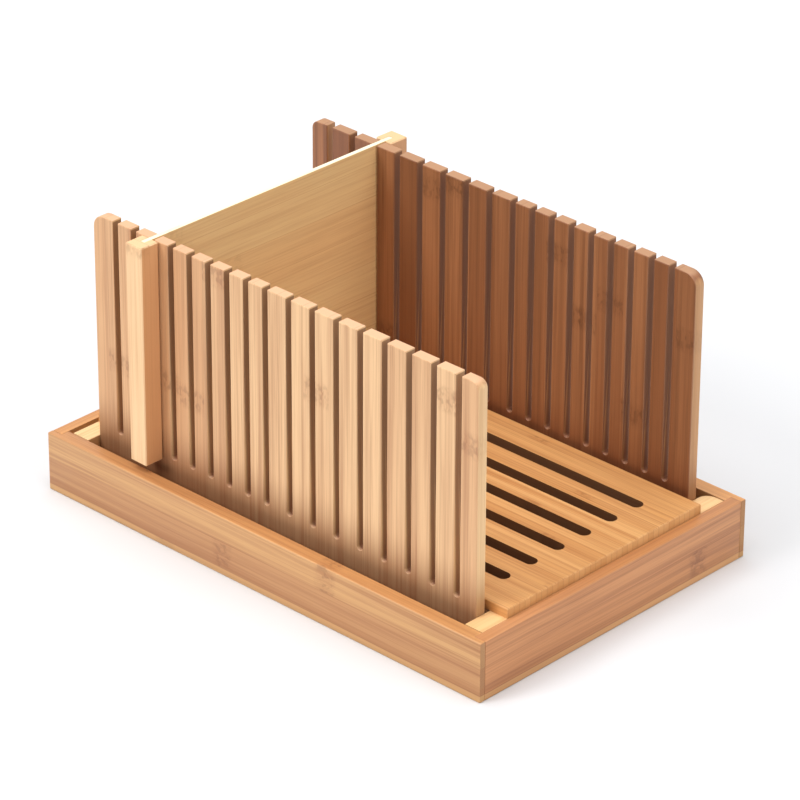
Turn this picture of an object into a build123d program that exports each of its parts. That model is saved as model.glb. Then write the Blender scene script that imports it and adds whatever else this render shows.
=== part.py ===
"""Bamboo bread slicer guide: a crumb tray, a slotted guide that stands in it, and a drop-in loaf stop.

Millimetres. X runs along the tray, Y across it, Z up. The origin is on the table under the tray's middle.
"""
import math
import os
from build123d import *

# crumb tray
tray_length = 340.0
tray_width = 220.0
tray_height = 37.0
long_board = 9.5          # thickness of the two long boards
end_board = 7.5           # and of the two short ones
rabbet_lip = 4.0          # what is left of a long board where an end board is let in
tray_edge = 0.8           # rounding of the tray's outer top edges
floor_panel = 3.0         # thickness of the bottom panel
floor_rise = 3.0          # underside of the bottom panel above the table
groove_depth = 3.5        # how deep the bottom panel reaches into each board
groove_gap = 0.2          # play of the panel in its groove, each way

# guide: base board and battens
end_play = 2.0            # room between the guide and each end board, when it is centred
guide_shift = (1.6, -0.2) # where the guide stands from the tray's middle, along and across
batten_thickness = 12.5
batten_gap = 0.7          # between a batten's end and the long board
batten_drop = 0.2         # top of a batten below the tray's rim
batten_foot = 0.3         # between a batten and the bottom panel
batten_round = 6.8        # rounded inner corner at the far end of a batten
batten_break = 1.0        # small rounding of its other corners
base_side_gap = 4.0       # between the base board and each wall
base_thickness = 6.0
base_edge = 0.5

# crumb slots of the base board
crumb_pitch = 22.0
crumb_width = 8.0
crumb_margin = 22.0       # from the board's end to a slot's tip
crumb_side_margin = 21.0  # least distance from the board's side to the middle of a slot

# guide walls
wall_thickness = 7.2
wall_rim_gap = 9.3        # between a wall and the long board beside it
wall_rise = 136.2         # above the base board
wall_end_gap = 0.3        # between a wall's end and a batten
wall_foot_gap = 2.0       # between a wall's lower edge and the bottom panel
thin_corner = 8.0         # rounding of a wall's top corner at the end with the thin slices
thick_corner = 5.0        # and at the other end
slot_width = 4.3
slot_bottom_rise = 1.2    # lowest point of a knife slot above the base board's face
slot_chamfer = 0.35
thin_slice = 14.8         # pitch of the slots in a wall's first half
thick_slice = 18.1        # pitch in its second half
thin_end_margin = 17.8    # from the wall's end to the first slot at the thin end
thick_end_margin = 10.0   # least distance from the last slot to the wall's other end

# dowels and screws
dowel_diameter = 5.0
dowel_reach = 11.0        # into the wall's end
dowel_seat = 9.0          # into the batten
dowel_gap = 0.05          # round a dowel in its hole
dowel_spread = 12.0       # height between the two dowels of a joint
screw_head = 7.0
screw_shank = 3.5
screw_bite = 4.2          # into the base board
screw_head_height = 2.4
screw_sink = 8.0          # depth of the counterbore under each batten
screw_gap = 0.05
screw_side_margin = 25.0  # from the base board's side to a screw
recess_width = 2.6        # square drive in the screw's head
recess_depth = 1.2

# stop
stop_slot = 3             # counted from the left on both walls
stop_thickness = 3.0
stop_rise = 0.5           # top of the stop above the walls
stop_rest_gap = 0.2       # clearance of the panel above the round slot bottoms
post_size = 13.0
post_gap = 0.6            # between a post and the wall beside it
post_drop = 2.0           # lower end of a post below the slot bottoms
post_groove = 6.0         # how deep the panel is let into a post
post_fit = 0.05
post_edge = 0.6

# worked out from the sizes above
inner_length = tray_length - 2 * end_board
inner_width = tray_width - 2 * long_board
floor_top = floor_rise + floor_panel
base_length = inner_length - 2 * end_play
wall_spacing = inner_width - 2 * (wall_thickness + wall_rim_gap)
base_width = wall_spacing - 2 * base_side_gap
crumb_rows = int((base_width - 2 * crumb_side_margin) / crumb_pitch) + 1
screw_spread = base_width - 2 * screw_side_margin
batten_top = tray_height - batten_drop
batten_bottom = floor_top + batten_foot
batten_length = inner_width - 2 * batten_gap
batten_x = base_length / 2 - batten_thickness / 2
base_top = batten_top + base_thickness
wall_top = base_top + wall_rise
wall_length = base_length - 2 * batten_thickness - 2 * wall_end_gap
wall_bottom = floor_top + wall_foot_gap
wall_y = wall_spacing / 2 + wall_thickness / 2
slot_bottom = base_top + slot_bottom_rise
dowel_z = (batten_top + batten_bottom) / 2
dowel_hole = dowel_diameter + 2 * dowel_gap


def block(x0, x1, y0, y1, z0, z1):
    """A rectangular solid between two corners."""
    middle = ((x0 + x1) / 2, (y0 + y1) / 2, (z0 + z1) / 2)
    return Pos(*middle) * Box(x1 - x0, y1 - y0, z1 - z0)


def x_cylinder(diameter, x0, x1, y, z):
    return Pos((x0 + x1) / 2, y, z) * Rot(0, 90, 0) * Cylinder(diameter / 2, x1 - x0)


def z_cylinder(diameter, x, y, z0, z1):
    return Pos(x, y, (z0 + z1) / 2) * Cylinder(diameter / 2, z1 - z0)


def slot_offsets():
    """Slot centres along a wall, from its middle: thin slices in the first half, thick ones in the rest."""
    first = -wall_length / 2 + thin_end_margin
    thin_steps = int(-first / thin_slice)
    thin = [first + thin_slice * step for step in range(thin_steps + 1)]
    thick_steps = int((wall_length / 2 - thick_end_margin - thin[-1]) / thick_slice)
    return thin + [thin[-1] + thick_slice * step for step in range(1, thick_steps + 1)]


def panel_groove():
    """The ring that the bottom panel's edge takes up in the four boards."""
    reach = groove_depth + groove_gap
    half_x = inner_length / 2 + reach
    half_y = inner_width / 2 + reach
    return block(-half_x, half_x, -half_y, half_y, floor_rise - groove_gap, floor_top + groove_gap)


def tray_side_board(side):
    """A long board, with a rabbet at each end that takes the end board."""
    half = tray_length / 2
    outer = side * tray_width / 2
    inner = side * inner_width / 2
    board = block(-half, half, min(outer, inner), max(outer, inner), 0, tray_height)
    lip = side * (tray_width / 2 - rabbet_lip)
    for end in (-1, 1):
        x0, x1 = sorted((end * inner_length / 2, end * (half + 1)))
        y0, y1 = sorted((lip, side * (inner_width / 2 - 1)))
        board -= block(x0, x1, y0, y1, -1, tray_height + 1)
    board -= panel_groove()
    top = board.edges().filter_by(Axis.X).group_by(Axis.Z)[-1]
    return fillet(top.sort_by(Axis.Y)[-1 if side > 0 else 0], tray_edge)


def tray_end_board(end):
    """A short board between the lips of the long boards."""
    half_y = tray_width / 2 - rabbet_lip
    x0, x1 = sorted((end * inner_length / 2, end * tray_length / 2))
    board = block(x0, x1, -half_y, half_y, 0, tray_height)
    board -= panel_groove()
    top = board.edges().filter_by(Axis.Y).group_by(Axis.Z)[-1]
    return fillet(top.sort_by(Axis.X)[-1 if end > 0 else 0], tray_edge)


def tray_bottom_panel():
    half_x = inner_length / 2 + groove_depth
    half_y = inner_width / 2 + groove_depth
    return block(-half_x, half_x, -half_y, half_y, floor_rise, floor_top)


def base_board():
    """The board under the loaf, with long crumb slots and blind screw holes from below."""
    board = Pos(0, 0, batten_top + base_thickness / 2) * Box(base_length, base_width, base_thickness)
    board = chamfer(board.edges().group_by(Axis.Z)[-1], base_edge)
    outline = Sketch()
    for row in range(crumb_rows):
        y = (row - (crumb_rows - 1) / 2) * crumb_pitch
        outline += Pos(0, y) * SlotOverall(base_length - 2 * crumb_margin, crumb_width)
    board -= Pos(0, 0, batten_top - 1) * extrude(outline, base_thickness + 2)
    hole = screw_shank + 2 * screw_gap
    for x, y in screw_places():
        board -= z_cylinder(hole, x, y, batten_top - 1, batten_top + screw_bite + screw_gap)
    return board


def screw_places():
    return [(end * batten_x, side * screw_spread / 2) for end in (-1, 1) for side in (-1, 1)]


def batten(end):
    """A bar across the tray with its far inner corner well rounded, bored for dowels and screws."""
    outline = Rectangle(batten_thickness, batten_length)
    far_inner = outline.vertices().group_by(Axis.Y)[-1].sort_by(Axis.X)[0 if end > 0 else -1]
    outline = fillet(far_inner, batten_round)
    height = batten_top - batten_bottom
    bar = Pos(end * batten_x, 0, batten_bottom) * extrude(outline, height)
    bar = chamfer(bar.edges().group_by(Axis.Z)[0], batten_break)
    for x, y in screw_places():
        if x * end > 0:
            bar -= z_cylinder(screw_shank + 2 * screw_gap, x, y, batten_bottom - 1, batten_top + 1)
            bar -= z_cylinder(screw_head + 4 * screw_gap, x, y, batten_bottom - 1, batten_bottom + screw_sink)
    inner_face = base_length / 2 - batten_thickness
    for side in (-1, 1):
        for z in dowel_heights():
            x0, x1 = sorted((end * (inner_face - 1), end * (inner_face + dowel_seat + dowel_gap)))
            bar -= x_cylinder(dowel_hole, x0, x1, side * wall_y, z)
    return bar


def dowel_heights():
    return [dowel_z - dowel_spread / 2, dowel_z + dowel_spread / 2]


def guide_wall(side):
    """A comb of bars between knife slots. The far wall is the near one turned end for end."""
    height = wall_top - wall_bottom
    outline = Rectangle(wall_length, height)
    thin_top, thick_top = outline.vertices().group_by(Axis.Y)[-1].sort_by(Axis.X)
    outline = fillet(thin_top, thin_corner)
    outline = fillet(outline.vertices().sort_by_distance(thick_top)[0], thick_corner)
    depth = wall_top - slot_bottom
    straight = depth - slot_width / 2
    slot = Pos(0, -straight) * Circle(slot_width / 2) + Pos(0, 1 - straight / 2) * Rectangle(slot_width, straight + 2)
    for x in slot_offsets():
        outline -= Pos(x, height / 2) * slot
    board = extrude(Plane.XZ * outline, wall_thickness / 2, both=True)
    faces = board.faces().filter_by(Axis.Y)
    rims = [edge for face in faces for edge in face.edges()]
    board = chamfer(rims, slot_chamfer)
    for end in (-1, 1):
        x0, x1 = sorted((end * (wall_length / 2 - dowel_reach - dowel_gap), end * (wall_length / 2 + 1)))
        for z in dowel_heights():
            board -= x_cylinder(dowel_hole, x0, x1, 0, z - (wall_bottom + wall_top) / 2)
    turn = 0 if side < 0 else 180
    return Pos(0, side * wall_y, (wall_bottom + wall_top) / 2) * Rot(0, 0, turn) * board


def wall_dowels(side):
    """Two blind dowels at each end of a wall, half in the wall and half in the batten."""
    inner_face = base_length / 2 - batten_thickness
    dowels = []
    for end in (-1, 1):
        x0, x1 = sorted((end * (wall_length / 2 - dowel_reach), end * (inner_face + dowel_seat)))
        for z in dowel_heights():
            dowels.append(x_cylinder(dowel_diameter, x0, x1, side * wall_y, z))
    return Compound(dowels)


def base_screws():
    """Flat-head screws with a square drive, their heads up in the battens' counterbores."""
    seat = batten_bottom + screw_sink
    tip = batten_top + screw_bite
    screws = []
    for x, y in screw_places():
        profile = Polyline(
            (0, seat - screw_head_height),
            (screw_head / 2, seat - screw_head_height),
            (screw_head / 2, seat),
            (screw_shank / 2, seat),
            (screw_shank / 2, tip),
            (0, tip),
            close=True,
        )
        screw = revolve(make_face(Plane.XZ * profile), Axis.Z)
        drive = Box(recess_width, recess_width, 2 * recess_depth)
        screw -= Pos(0, 0, seat - screw_head_height) * drive
        screws.append(Pos(x, y, 0) * screw)
    return Compound(screws)


def stop_frame():
    """Where the stop stands: midway between its two slots and turned to run from one to the other."""
    slots = slot_offsets()
    near_x = slots[stop_slot - 1]
    far_x = -slots[-stop_slot]
    turn = -math.degrees(math.atan2(far_x - near_x, 2 * wall_y))
    return Pos((near_x + far_x) / 2, 0, 0) * Rot(0, 0, turn)


def stop_reach():
    """Half the distance between the two posts' inner faces, along the turned stop."""
    slots = slot_offsets()
    skew = math.atan2(-slots[-stop_slot] - slots[stop_slot - 1], 2 * wall_y)
    clear = wall_spacing / 2 + wall_thickness + post_gap + post_size / 2 * math.sin(abs(skew))
    return clear / math.cos(skew)


def panel_seat():
    """Height at which the flat-edged panel meets the round bottoms of the slots."""
    radius = slot_width / 2
    return slot_bottom + radius - math.sqrt(radius**2 - (stop_thickness / 2) ** 2) + stop_rest_gap


def stop_panel():
    half = stop_reach() + post_groove
    top = wall_top + stop_rise
    return stop_frame() * block(-stop_thickness / 2, stop_thickness / 2, -half, half, panel_seat(), top)


def stop_post(side):
    """A square post whose groove takes the panel's end, open at the top."""
    half = post_size / 2
    inner = stop_reach()
    top = wall_top + stop_rise
    y0, y1 = sorted((side * inner, side * (inner + post_size)))
    post = block(-half, half, y0, y1, slot_bottom - post_drop, top)
    post = chamfer(post.edges(), post_edge)
    cut = stop_thickness / 2 + post_fit
    g0, g1 = sorted((side * (inner - 1), side * (inner + post_groove + post_fit)))
    post -= block(-cut, cut, g0, g1, panel_seat() - post_fit, top + 1)
    return stop_frame() * post


def main():
    shift = Pos(*guide_shift, 0)
    parts = {
        "tray_near_board": tray_side_board(-1),
        "tray_far_board": tray_side_board(1),
        "tray_left_board": tray_end_board(-1),
        "tray_right_board": tray_end_board(1),
        "tray_bottom_panel": tray_bottom_panel(),
        "base_board": shift * base_board(),
        "left_batten": shift * batten(-1),
        "right_batten": shift * batten(1),
        "near_wall": shift * guide_wall(-1),
        "far_wall": shift * guide_wall(1),
        "near_wall_dowels": shift * wall_dowels(-1),
        "far_wall_dowels": shift * wall_dowels(1),
        "base_screws": shift * base_screws(),
        "stop_panel": shift * stop_panel(),
        "stop_near_post": shift * stop_post(-1),
        "stop_far_post": shift * stop_post(1),
    }
    os.makedirs("parts", exist_ok=True)
    for name, solid in parts.items():
        export_step(solid, f"parts/{name}.step")
        print(name, round(solid.volume), "mm3", len(solid.solids()), "solids")


main()
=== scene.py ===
import math

import bmesh
import bpy
from mathutils import Matrix, Vector


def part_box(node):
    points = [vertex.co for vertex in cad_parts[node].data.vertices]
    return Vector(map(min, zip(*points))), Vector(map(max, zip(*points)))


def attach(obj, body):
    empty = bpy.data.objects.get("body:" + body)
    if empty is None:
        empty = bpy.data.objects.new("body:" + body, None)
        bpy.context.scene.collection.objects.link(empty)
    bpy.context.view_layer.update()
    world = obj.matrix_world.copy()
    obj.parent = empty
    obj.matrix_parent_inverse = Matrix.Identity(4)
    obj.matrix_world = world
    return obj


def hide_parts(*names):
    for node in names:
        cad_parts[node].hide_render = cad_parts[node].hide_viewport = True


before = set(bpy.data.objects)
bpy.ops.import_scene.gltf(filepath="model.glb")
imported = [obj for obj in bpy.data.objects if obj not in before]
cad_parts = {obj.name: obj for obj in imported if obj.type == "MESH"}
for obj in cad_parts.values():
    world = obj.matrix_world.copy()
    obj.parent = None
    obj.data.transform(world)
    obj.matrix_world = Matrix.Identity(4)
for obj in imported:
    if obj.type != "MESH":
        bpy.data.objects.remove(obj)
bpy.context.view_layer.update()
axisNumber = {"X": 0, "Y": 1, "Z": 2}


def screenColour(red, green, blue):  # 0-255 screen values to the renderer's own
    def one(value):
        value /= 255
        return value / 12.92 if value <= 0.04045 else ((value + 0.055) / 1.055) ** 2.4
    return (one(red), one(green), one(blue), 1.0)


class Wire:  # a socket that takes part in plain arithmetic
    def __init__(self, sheet, socket):
        self.sheet, self.socket = sheet, socket

    def maths(self, operation, *values):
        return self.sheet.node("ShaderNodeMath", {"operation": operation}, dict(enumerate(values)))

    def __add__(self, other): return self.maths("ADD", self, other)
    def __radd__(self, other): return self.maths("ADD", other, self)
    def __sub__(self, other): return self.maths("SUBTRACT", self, other)
    def __rsub__(self, other): return self.maths("SUBTRACT", other, self)
    def __mul__(self, other): return self.maths("MULTIPLY", self, other)
    def __rmul__(self, other): return self.maths("MULTIPLY", other, self)
    def __truediv__(self, other): return self.maths("DIVIDE", self, other)
    def __rtruediv__(self, other): return self.maths("DIVIDE", other, self)
    def __mod__(self, other): return self.maths("FLOORED_MODULO", self, other)
    def __abs__(self): return self.maths("ABSOLUTE", self)

    def floor(self):
        return self.maths("FLOOR", self)

    def between(self, low, high):  # 0 at low, 1 at high, smooth on the way
        smooth = {"interpolation_type": "SMOOTHSTEP"}
        values = {"Value": self, "From Min": low, "From Max": high}
        return self.sheet.node("ShaderNodeMapRange", smooth, values)


class Sheet:  # the node tree of one material
    def __init__(self, name):
        self.material = bpy.data.materials.new(name)
        self.material.use_nodes = True
        self.tree = self.material.node_tree
        self.tree.nodes.clear()

    def node(self, kind, settings=None, values=None, out=0):
        made = self.tree.nodes.new(kind)
        for key, value in (settings or {}).items():
            setattr(made, key, value)
        for key, value in (values or {}).items():
            self.give(made.inputs[key], value)
        return Wire(self, made.outputs[out]) if made.outputs else None

    def give(self, socket, value):
        if isinstance(value, Wire):
            self.tree.links.new(value.socket, socket)
        else:
            socket.default_value = value

    def blend(self, factor, first, second):  # colours
        values = {0: factor, 6: first, 7: second}
        return self.node("ShaderNodeMix", {"data_type": "RGBA"}, values, out=2)

    def vector(self, x, y, z):
        return self.node("ShaderNodeCombineXYZ", {}, {0: x, 1: y, 2: z})

    def noise(self, place, detail, rough):
        values = {"Vector": place, "Scale": 1.0, "Detail": detail, "Roughness": rough}
        return self.node("ShaderNodeTexNoise", {"noise_dimensions": "3D"}, values)

    def chance(self, number):  # the same number always gives the same 0-1 value
        return self.node("ShaderNodeTexWhiteNoise", {"noise_dimensions": "1D"}, {"W": number})

    def surface(self, values):
        shader = self.node("ShaderNodeBsdfPrincipled", {}, values)
        self.node("ShaderNodeOutputMaterial", {}, {"Surface": shader})
        return self.material


bambooUsual = {
    "grain": "X",  # fibres run along this axis
    "strips": "Z",  # strips are glued side by side along this one
    "stripWidth": 0.0195,
    "stripShift": 0.0,
    "pale": (233, 190, 140),
    "tan": (214, 163, 112),
    "dark": (176, 118, 76),
    "toneSpread": 0.5,  # how much one strip differs from the next
    "bands": 0.42,  # soft darker bands along the grain
    "fibres": 0.34,
    "knuckle": (0.31, 0.12),  # distance between a strip's nodes, and their shift
    "knuckleDepth": 0.8,
    "top": None,  # colour of the faces that look up, where it differs
    "topShare": 0.7,
    "sides": None,  # colour of the edges that run along the grain
    "sidesShare": 0.75,
    "paintedFootShade": None,  # colour of the lower end: painted shade, darker towards the bottom
    "paintedFootShadeShare": 0.65,
    "paintedFootShadeReach": (0.022, 0.062),  # heights up to which it is full, and from which it is gone
    "hem": None,  # heights of the lowest strip and of the darker one above it
    "hemPale": (230, 186, 120),
    "hemDark": (168, 110, 66),
    "hemShare": 0.35,
    "flats": None,  # colour of the faces along neither the grain nor the strips
    "flatsShare": 0.8,
    "sawnAndShaded": None,  # colour inside slots: the sawn wood's own darker tone and painted shade of the slot
    "sawnAndShadedShare": 0.7,
    "sawnAndShadedInset": (0.012, 0.012, 0.0),  # how far inside the board's box such faces start
    "endDark": 0.35,
    "roughness": 0.46,
    "grainDepth": 0.25,
    "sway": 0.0022,  # how far the fibres wander off a straight line
    "seed": 1.0,
}


weave = {  # the pattern that all the bamboo shares: counts are per metre, reaches in metres
    "swayAlong": 7.0,
    "swayAcross": 12.0,
    "swayNoise": (1.0, 0.5),  # detail and roughness
    "swayDraw": 3.1,  # a draw spreads the seeds, so that no two boards or strips look alike
    "toneDraw": (3.7, 11.3),
    "shiftDraw": (5.9, 23.1, 4.0),
    "stripDraw": 0.37,
    "nodeReach": (0.003, 0.0095),  # full up to the first distance from a node, none from the second
    "nodeShade": 0.2,
    "rippleAlong": 260.0,
    "rippleAcross": 330.0,
    "rippleNoise": (1.0, 0.5),
    "rippleDraw": 3.0,
    "rippleShift": 0.0035,
    "broadAlong": 3.0,
    "broadAcross": 170.0,
    "broadNoise": (3.0, 0.5),
    "broadDraw": 9.0,
    "fineAlong": 9.0,
    "fineAcross": 780.0,
    "fineNoise": (2.0, 0.6),
    "fineDraw": 5.0,
    "hairAlong": 40.0,
    "hairAcross": 2200.0,
    "hairNoise": (1.0, 0.6),
    "hairShare": 0.35,
    "cloudAlong": 9.0,
    "cloudAcross": 22.0,
    "cloudNoise": (2.0, 0.5),
    "cloudDraw": 7.0,
    "cloudShare": 0.5,
    "knuckleEdge": (0.45, 0.64),  # an edge is where a noise turns from nothing to full
    "bandEdge": (0.42, 0.68),
    "hairEdge": (0.45, 0.7),
    "toneEdge": (0.15, 0.85),
    "topEdge": (0.75, 0.95),
    "facingEdge": (0.7, 0.95),
    "flatEdge": (0.1, 0.35),
    "knuckleShare": 0.45,
    "glueReach": (0.0001, 0.00035),
    "glueShare": 0.35,
    "poresShare": 0.25,
    "topBands": 0.7,
    "edgeBands": 0.5,  # how much of the dark bands shows on the sides and flats
    "browner": 0.82,
    "sawnAndShadedBlur": 0.0003,
    "hemBlur": 0.0003,
    "hemFade": 0.001,
    "fineRelief": 0.5,
    "hairRelief": 0.35,
    "knuckleRelief": 0.5,
    "glueRelief": 0.6,
    "reliefHeight": 0.0004,
    "hairGloss": 0.16,
    "cloudGloss": 0.08,
    "endGloss": 0.18,
    "sawnGloss": 0.3,
}


def bamboo(name, look, corners=None):
    look = {**bambooUsual, **weave, **look}
    s = Sheet(name)
    seed = look["seed"]
    pattern = s.node("ShaderNodeTexCoord", out="Object")
    parts = s.node("ShaderNodeSeparateXYZ", {}, {0: pattern}).socket.node
    xyz = [Wire(s, parts.outputs[i]) for i in range(3)]
    grain, strips = axisNumber[look["grain"]], axisNumber[look["strips"]]
    flats = 3 - grain - strips
    along, across, through = xyz[grain], xyz[strips], xyz[flats]

    drifted = seed * look["swayDraw"]
    place = s.vector(along * look["swayAlong"], across * look["swayAcross"], drifted)
    across = across + (s.noise(place, *look["swayNoise"]) - 0.5) * look["sway"]
    strip = ((across + look["stripShift"]) / look["stripWidth"]).floor()
    inStrip = ((across + look["stripShift"]) / look["stripWidth"]) % 1.0
    perStrip, perSeed = look["toneDraw"]
    tone = s.chance(strip * perStrip + seed * perSeed)
    perStrip, perSeed, start = look["shiftDraw"]
    shift = s.chance(strip * perStrip + seed * perSeed + start)
    own = strip * look["stripDraw"] + seed

    spacing, nodeShift = look["knuckle"]
    toNode = abs(((along + shift * spacing + nodeShift) % spacing) - spacing / 2)
    nodeNear = (1.0 - toNode.between(*look["nodeReach"])) * look["knuckleDepth"]
    fineness = look["rippleAcross"]
    drifted = along * look["rippleAlong"] + own * look["rippleDraw"]
    place = s.vector(drifted, across * fineness, through * fineness + own)
    ripple = s.noise(place, *look["rippleNoise"])
    wavy = across + (ripple - 0.5) * nodeNear * look["rippleShift"]

    fineness = look["broadAcross"]
    drifted = along * look["broadAlong"] + own * look["broadDraw"]
    place = s.vector(drifted, wavy * fineness, through * fineness + own)
    broad = s.noise(place, *look["broadNoise"])
    fineness = look["fineAcross"]
    drifted = along * look["fineAlong"] + own * look["fineDraw"]
    place = s.vector(drifted, wavy * fineness, through * fineness)
    fine = s.noise(place, *look["fineNoise"])
    fineness = look["hairAcross"]
    place = s.vector(along * look["hairAlong"], wavy * fineness + own, through * fineness)
    hair = s.noise(place, *look["hairNoise"])
    fineness = look["cloudAcross"]
    drifted = through * fineness + seed * look["cloudDraw"]
    place = s.vector(along * look["cloudAlong"], across * fineness, drifted)
    cloud = s.noise(place, *look["cloudNoise"])
    knuckle = nodeNear * ripple.between(*look["knuckleEdge"])

    facing = s.node("ShaderNodeTexCoord", out="Normal")
    facing = s.node("ShaderNodeSeparateXYZ", {}, {0: facing}).socket.node

    def looksAlong(axis):  # how squarely a face looks along an axis, either way
        return abs(Wire(s, facing.outputs[axis]))

    cutEnd = looksAlong(grain).between(*look["facingEdge"])
    toJoint = (0.5 - abs(inStrip - 0.5)) * look["stripWidth"]
    glue = 1.0 - toJoint.between(*look["glueReach"])
    lightness = (tone - 0.5) * look["toneSpread"] + (cloud - 0.5) * look["cloudShare"] + 0.5
    bands = broad.between(*look["bandEdge"]) * look["bands"]
    fibres = fine.between(*look["bandEdge"]) * look["fibres"]
    hairs = hair.between(*look["hairEdge"])
    darkBand = bands + fibres + hairs * look["fibres"] * look["hairShare"]
    darkBand = (darkBand + nodeNear * look["nodeShade"]) * (1.0 - cutEnd)

    def shaded(key, share):  # a colour of the look with its dark bands
        return s.blend(darkBand * share, screenColour(*look[key]), screenColour(*look["dark"]))

    pale, tan = screenColour(*look["pale"]), screenColour(*look["tan"])
    colour = s.blend(lightness.between(*look["toneEdge"]), tan, pale)
    colour = s.blend(darkBand, colour, screenColour(*look["dark"]))
    if look["top"]:
        top = Wire(s, facing.outputs["Z"]).between(*look["topEdge"])
        colour = s.blend(top * look["topShare"], colour, shaded("top", look["topBands"]))
    pores = hairs * look["poresShare"] + (1.0 - look["poresShare"])
    browner = screenColour(*[value * look["browner"] for value in look["dark"]])
    colour = s.blend(cutEnd * pores * look["endDark"], colour, browner)
    colour = s.blend(knuckle * look["knuckleShare"] * (1.0 - cutEnd), colour, browner)
    colour = s.blend(glue * look["glueShare"], colour, screenColour(*look["dark"]))
    if look["sides"]:
        side = looksAlong(strips).between(*look["facingEdge"])
        colour = s.blend(side * look["sidesShare"], colour, shaded("sides", look["edgeBands"]))
    if look["flats"]:
        flat = looksAlong(flats).between(*look["facingEdge"])
        colour = s.blend(flat * look["flatsShare"], colour, shaded("flats", look["edgeBands"]))
    if look["hem"]:
        height = across - corners[0][strips]
        lowest, upper = look["hem"]
        under = 1.0 - height.between(lowest - look["hemBlur"], lowest)
        above = (1.0 - height.between(upper - look["hemFade"], upper)) * (1.0 - under)
        colour = s.blend(above * look["hemShare"], colour, screenColour(*look["hemDark"]))
        colour = s.blend(under * look["hemShare"], colour, screenColour(*look["hemPale"]))
    # painted shade: the lower end of the board darkens towards the bottom
    if look["paintedFootShade"]:
        low = corners[0][grain]
        full, gone = look["paintedFootShadeReach"]
        paintedFootShadeMask = 1.0 - along.between(low + full, low + gone)
        colour = s.blend(paintedFootShadeMask * look["paintedFootShadeShare"], colour, screenColour(*look["paintedFootShade"]))
    # slot faces get the sawn wood's darker tone and painted shade of the recess
    if look["sawnAndShaded"]:
        sawnAndShaded = (1.0 - looksAlong(flats).between(*look["flatEdge"])) * look["sawnAndShadedShare"]
        for axis, inset in enumerate(look["sawnAndShadedInset"]):
            if inset:
                low, high = corners[0][axis] + inset, corners[1][axis] - inset
                above = xyz[axis].between(low - look["sawnAndShadedBlur"], low)
                below = 1.0 - xyz[axis].between(high, high + look["sawnAndShadedBlur"])
                sawnAndShaded = sawnAndShaded * above * below
        colour = s.blend(sawnAndShaded, colour, screenColour(*look["sawnAndShaded"]))

    relief = (1.0 - fine) * look["fineRelief"] + (1.0 - hair) * look["hairRelief"]
    relief = relief - knuckle * look["knuckleRelief"] - glue * look["glueRelief"]
    bump = {"Height": relief, "Strength": look["grainDepth"], "Distance": look["reliefHeight"]}
    roughness = look["roughness"] + (hair - 0.5) * look["hairGloss"]
    roughness = roughness + (cloud - 0.5) * look["cloudGloss"] + cutEnd * look["endGloss"]
    if look["sawnAndShaded"]:
        roughness = roughness + sawnAndShaded * look["sawnGloss"]
    normal = s.node("ShaderNodeBump", {}, bump)
    return s.surface({"Base Color": colour, "Roughness": roughness, "Normal": normal})


def steel(name, look):
    s = Sheet(name)
    pattern = s.node("ShaderNodeTexCoord", out="Object")
    parts = s.node("ShaderNodeSeparateXYZ", {}, {0: pattern}).socket.node
    x, y, z = [Wire(s, parts.outputs[i]) for i in range(3)]
    turn, fineTurn, wear = look["turn"], look["fineTurn"], look["wear"]
    turned = s.noise(s.vector(x * turn, y * turn, z * fineTurn), *look["turnNoise"])
    worn = s.noise(s.vector(x * wear, y * wear, z * wear), *look["wearNoise"])
    colour = s.blend(worn, screenColour(*look["bright"]), screenColour(*look["dull"]))
    roughness = look["roughness"] + (turned - 0.5) * look["glossSpread"]
    values = {"Height": turned, "Strength": look["depth"], "Distance": look["height"]}
    bump = s.node("ShaderNodeBump", {}, values)
    return s.surface({
        "Base Color": colour, "Metallic": 1.0, "Roughness": roughness, "Normal": bump,
    })


clean = {  # how a board's copy is cleaned and shaded
    "weldReach": 0.000002,
    "flatAngle": math.radians(0.2),
    "roundTurns": (0.02, 0.55),  # neighbouring faces of a round part turn by this much, in radians
    "bevelSegments": 2,
    "sharpAngle": math.radians(50),
}


def board(name, piece):  # a clean copy of a CAD node with its edges broken
    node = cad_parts[piece["node"]]
    work = bmesh.new()
    work.from_mesh(node.data)
    bmesh.ops.remove_doubles(work, verts=work.verts, dist=clean["weldReach"])
    if piece["edge"]:
        flat = clean["flatAngle"]
        bmesh.ops.dissolve_limit(work, angle_limit=flat, verts=work.verts, edges=work.edges)
    least, most = clean["roundTurns"]
    for face in work.faces:  # smooth only where faces turn by a little, as round parts do
        turns = [edge.calc_face_angle(0) for edge in face.edges if len(edge.link_faces) == 2]
        face.smooth = any(least < turn < most for turn in turns)
    mesh = bpy.data.meshes.new(name)
    work.to_mesh(mesh)
    work.free()
    mesh.materials.clear()
    mesh.materials.append(bamboo(name + "Bamboo", piece["look"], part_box(piece["node"])))
    made = bpy.data.objects.new(name, mesh)
    bpy.context.scene.collection.objects.link(made)
    if piece["edge"]:
        bevel = made.modifiers.new("brokenEdges", "BEVEL")
        bevel.width = piece["edge"]
        bevel.segments = clean["bevelSegments"]
        bevel.limit_method = "ANGLE"
        bevel.angle_limit = clean["sharpAngle"]
    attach(made, piece["body"])
    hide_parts(piece["node"])
    print(name, len(mesh.polygons), "faces")


def trayBoard(node, **look):
    usual = {
        "grain": "X", "strips": "Z", "stripWidth": 0.0165, "stripShift": 0.0121,
        "toneSpread": 0.8, "bands": 0.5, "fibres": 0.28, "hem": (0.004, 0.009),
        "pale": (214, 165, 110), "tan": (195, 143, 95), "dark": (160, 102, 64),
        "top": (220, 157, 95), "endDark": 0.6,
    }
    return {
        "node": node, "body": "crumb_tray", "slot": "tray_bamboo", "edge": 0.0005,
        "look": {**usual, **look},
    }


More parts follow.
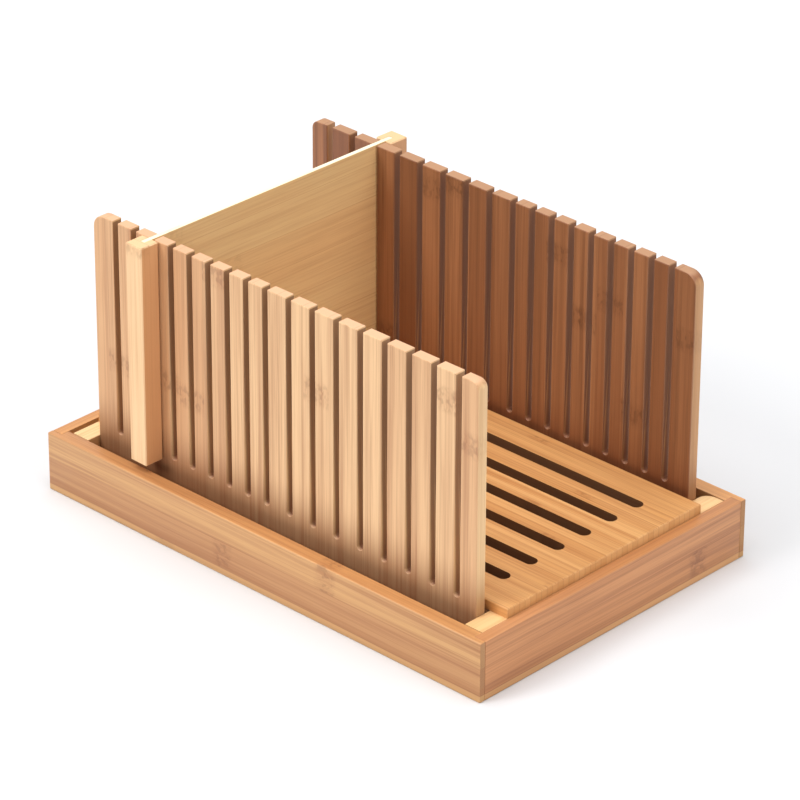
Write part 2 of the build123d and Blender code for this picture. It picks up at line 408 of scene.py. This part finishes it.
trayNearBoard = trayBoard("tray_near_board", seed=2.0)
trayFarBoard = trayBoard("tray_far_board", seed=5.0)
trayLeftBoard = trayBoard("tray_left_board", grain="Y", seed=8.0)
trayRightBoard = trayBoard(
    "tray_right_board", grain="Y", seed=11.0,
    pale=(214, 151, 99), tan=(194, 130, 80), dark=(148, 90, 56), top=(196, 133, 77),
)
trayFloor = {
    "node": "tray_bottom_panel", "body": "crumb_tray", "slot": "tray_floor_bamboo", "edge": 0.0003,
    "look": {
        "strips": "Y", "stripWidth": 0.022, "stripShift": 0.007, "seed": 14.0,
        "pale": (190, 140, 94), "tan": (170, 120, 78), "dark": (132, 86, 54),
    },
}
baseBoard = {
    "node": "base_board", "body": "slicer", "slot": "base_bamboo", "edge": 0.0,
    "look": {
        "strips": "Y", "stripWidth": 0.0044, "seed": 17.0, "toneSpread": 0.3,
        "pale": (230, 176, 114), "tan": (214, 154, 92), "dark": (178, 114, 60),
        "endDark": 0.0, "knuckle": (0.5, 0.05), "sway": 0.0006,
        # crumb slots: darker sawn wood and painted shade, nearly black
        "sawnAndShaded": (84, 50, 30), "sawnAndShadedShare": 0.85,
    },
}


def battenPiece(node, seed):
    look = {
        "grain": "Y", "strips": "X", "stripWidth": 0.014, "stripShift": 0.007, "seed": seed,
        "pale": (246, 208, 152), "tan": (240, 196, 138), "dark": (218, 164, 106),
        "bands": 0.35, "fibres": 0.35,
    }
    return {"node": node, "body": "slicer", "slot": "batten_bamboo", "edge": 0.0004, "look": look}


leftBatten = battenPiece("left_batten", 20.0)
rightBatten = battenPiece("right_batten", 23.0)


def wallPiece(node, **look):
    usual = {
        "grain": "Z", "strips": "X", "stripWidth": 0.0195, "toneSpread": 0.9, "endDark": 0.1,
        # slot colour: darker sawn wood and painted shade in the slots; foot colour: painted shade
        # at the lower end
        "sawnAndShaded": (118, 68, 42), "sawnAndShadedInset": (0.0135, 0.0, 0.001), "paintedFootShade": (112, 57, 28),
    }
    return {
        "node": node, "body": "slicer", "slot": "wall_bamboo", "edge": 0.0,
        "look": {**usual, **look},
    }


nearWall = wallPiece(
    "near_wall", seed=26.0, pale=(234, 192, 144), tan=(216, 166, 120), dark=(178, 124, 84),
    top=(236, 184, 146), sides=(250, 212, 156),
)
# the far wall's colours are the wall colours darkened: painted shade
farWall = wallPiece(
    "far_wall", seed=29.0, pale=(174, 118, 78), tan=(146, 93, 59), dark=(118, 74, 46),
    top=(193, 149, 113), sides=(214, 162, 110),
)
stopPanel = {
    "node": "stop_panel", "body": "stop", "slot": "stop_bamboo", "edge": 0.0003,
    "look": {
        "grain": "Y", "strips": "Z", "stripWidth": 0.021, "seed": 32.0, "toneSpread": 0.3,
        "pale": (255, 220, 158), "tan": (250, 204, 142), "dark": (214, 158, 104),
        "bands": 0.2, "fibres": 0.22, "knuckleDepth": 0.3,
        "top": (255, 248, 216), "topShare": 1.0,
    },
}


def postPiece(node, seed):
    look = {
        "grain": "Z", "strips": "Y", "stripWidth": 0.016, "stripShift": 0.003, "seed": seed,
        "pale": (246, 208, 160), "tan": (232, 184, 132), "dark": (204, 148, 100),
        "bands": 0.3, "fibres": 0.28,
        "endDark": 0.1, "top": (240, 200, 150), "flats": (218, 156, 104),
    }
    return {"node": node, "body": "stop", "slot": "post_bamboo", "edge": 0.0, "look": look}


stopNearPost = postPiece("stop_near_post", 35.0)
stopFarPost = postPiece("stop_far_post", 38.0)

boards = {
    "trayNearBoard": trayNearBoard, "trayFarBoard": trayFarBoard, "trayLeftBoard": trayLeftBoard,
    "trayRightBoard": trayRightBoard, "trayFloor": trayFloor, "baseBoard": baseBoard,
    "leftBatten": leftBatten, "rightBatten": rightBatten, "nearWall": nearWall, "farWall": farWall,
    "stopPanel": stopPanel, "stopNearPost": stopNearPost, "stopFarPost": stopFarPost,
}
for name, piece in boards.items():
    board(name, piece)
print("boards done")

dowels = {
    "nodes": ("near_wall_dowels", "far_wall_dowels"),
    "look": {"strips": "Y", "stripWidth": 0.02, "seed": 41.0},
}
screws = {
    "node": "base_screws",
    "look": {
        "bright": (205, 205, 208), "dull": (150, 150, 154), "roughness": 0.34, "glossSpread": 0.2,
        "turn": 400.0, "fineTurn": 9000.0, "wear": 300.0,  # marks per metre
        "turnNoise": (2.0, 0.5), "wearNoise": (3.0, 0.5), "depth": 0.15, "height": 0.0001,
    },
}
dowelWood = bamboo("dowelWood", dowels["look"])
for name in dowels["nodes"]:
    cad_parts[name].data.materials.clear()
    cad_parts[name].data.materials.append(dowelWood)
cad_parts[screws["node"]].data.materials.clear()
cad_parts[screws["node"]].data.materials.append(steel("screwSteel", screws["look"]))
print("dowels and screws done")

studio = {
    "floorSize": 12.0,
    "floorGrey": 0.9,
    "floorDrop": 0.0002,  # how far below the feet it lies
    "floorSeen": (0.75, 0.757, 0.77),  # its colour for the camera, where it comes out white
    "worldStrength": 0.3,
    "worldLight": (0.97, 0.98, 1.0, 1.0),
    "worldSeen": (1.0, 1.0, 1.0, 1.0),
    "suns": {  # direction that the light comes from, softness in degrees, strength
        "keySun": ((-1.1, -2.3, 1.9), 24, 1.25),
        "fillSun": ((2.6, 0.2, 1.9), 40, 0.6),
        "topSun": ((-0.1, -0.2, 2.8), 60, 2.5),
    },
}


def makeFloor(look):
    s = Sheet("floorPaper")
    paths = s.node("ShaderNodeLightPath").socket.node
    rays = ("Is Camera Ray", "Is Glossy Ray", "Is Transmission Ray")
    seen = [Wire(s, paths.outputs[ray]) for ray in rays]
    paper = s.node("ShaderNodeBsdfDiffuse", {}, {"Color": (look["floorGrey"],) * 3 + (1.0,)})
    white = s.node("ShaderNodeBsdfDiffuse", {}, {"Color": look["floorSeen"] + (1.0,)})
    shown = s.node("ShaderNodeMixShader", {}, {0: seen[0] + seen[1] + seen[2], 1: paper, 2: white})
    s.node("ShaderNodeOutputMaterial", {}, {"Surface": shown})
    work = bmesh.new()
    bmesh.ops.create_grid(work, x_segments=1, y_segments=1, size=look["floorSize"] / 2)
    bmesh.ops.translate(work, verts=work.verts, vec=(0, 0, -look["floorDrop"]))
    mesh = bpy.data.meshes.new("floor")
    work.to_mesh(mesh)
    work.free()
    mesh.materials.append(s.material)
    floor = bpy.data.objects.new("floor", mesh)
    bpy.context.scene.collection.objects.link(floor)


def makeWorld(look):
    world = bpy.data.worlds.new("studioAir")
    bpy.context.scene.world = world
    world.use_nodes = True
    tree = world.node_tree
    tree.nodes.clear()
    paths = tree.nodes.new("ShaderNodeLightPath")
    light, white = tree.nodes.new("ShaderNodeBackground"), tree.nodes.new("ShaderNodeBackground")
    light.inputs["Strength"].default_value = look["worldStrength"]
    light.inputs["Color"].default_value = look["worldLight"]
    white.inputs["Color"].default_value = look["worldSeen"]
    both, seen = [tree.nodes.new("ShaderNodeMath") for _ in range(2)]
    mix, out = tree.nodes.new("ShaderNodeMixShader"), tree.nodes.new("ShaderNodeOutputWorld")
    tree.links.new(paths.outputs["Is Camera Ray"], both.inputs[0])
    tree.links.new(paths.outputs["Is Glossy Ray"], both.inputs[1])
    tree.links.new(both.outputs[0], seen.inputs[0])
    tree.links.new(paths.outputs["Is Transmission Ray"], seen.inputs[1])
    tree.links.new(seen.outputs[0], mix.inputs[0])
    tree.links.new(light.outputs[0], mix.inputs[1])
    tree.links.new(white.outputs[0], mix.inputs[2])
    tree.links.new(mix.outputs[0], out.inputs["Surface"])


def makeSun(name, place, softness, strength):
    sun = bpy.data.lights.new(name, "SUN")
    sun.angle = math.radians(softness)
    sun.energy = strength
    made = bpy.data.objects.new(name, sun)
    bpy.context.scene.collection.objects.link(made)
    turn = (-Vector(place)).to_track_quat("-Z", "Y").to_matrix().to_4x4()
    made.matrix_world = Matrix.Translation(place) @ turn


makeFloor(studio)
makeWorld(studio)
for name, (place, softness, strength) in studio["suns"].items():
    makeSun(name, place, softness, strength)

photoCamera = {
    "place": (1.5908, -1.6701, 1.3113), "aim": (-0.020, 0.027, 0.0613),
    "roll": 0.28, "lens": 208.1, "sensor": 36.0, "reach": 50.0,
}
cameraData = bpy.data.cameras.new("photoCamera")
cameraData.lens = photoCamera["lens"]
cameraData.sensor_width = photoCamera["sensor"]
cameraData.clip_end = photoCamera["reach"]
camera = bpy.data.objects.new("photoCamera", cameraData)
bpy.context.scene.collection.objects.link(camera)
towards = Vector(photoCamera["aim"]) - Vector(photoCamera["place"])
looking = towards.to_track_quat("-Z", "Y").to_matrix().to_4x4()
roll = Matrix.Rotation(math.radians(photoCamera["roll"]), 4, "Z")
camera.matrix_world = Matrix.Translation(photoCamera["place"]) @ looking @ roll
bpy.context.scene.camera = camera
bpy.context.scene.view_settings.view_transform = "Standard"
print("stage, lamps and camera done")
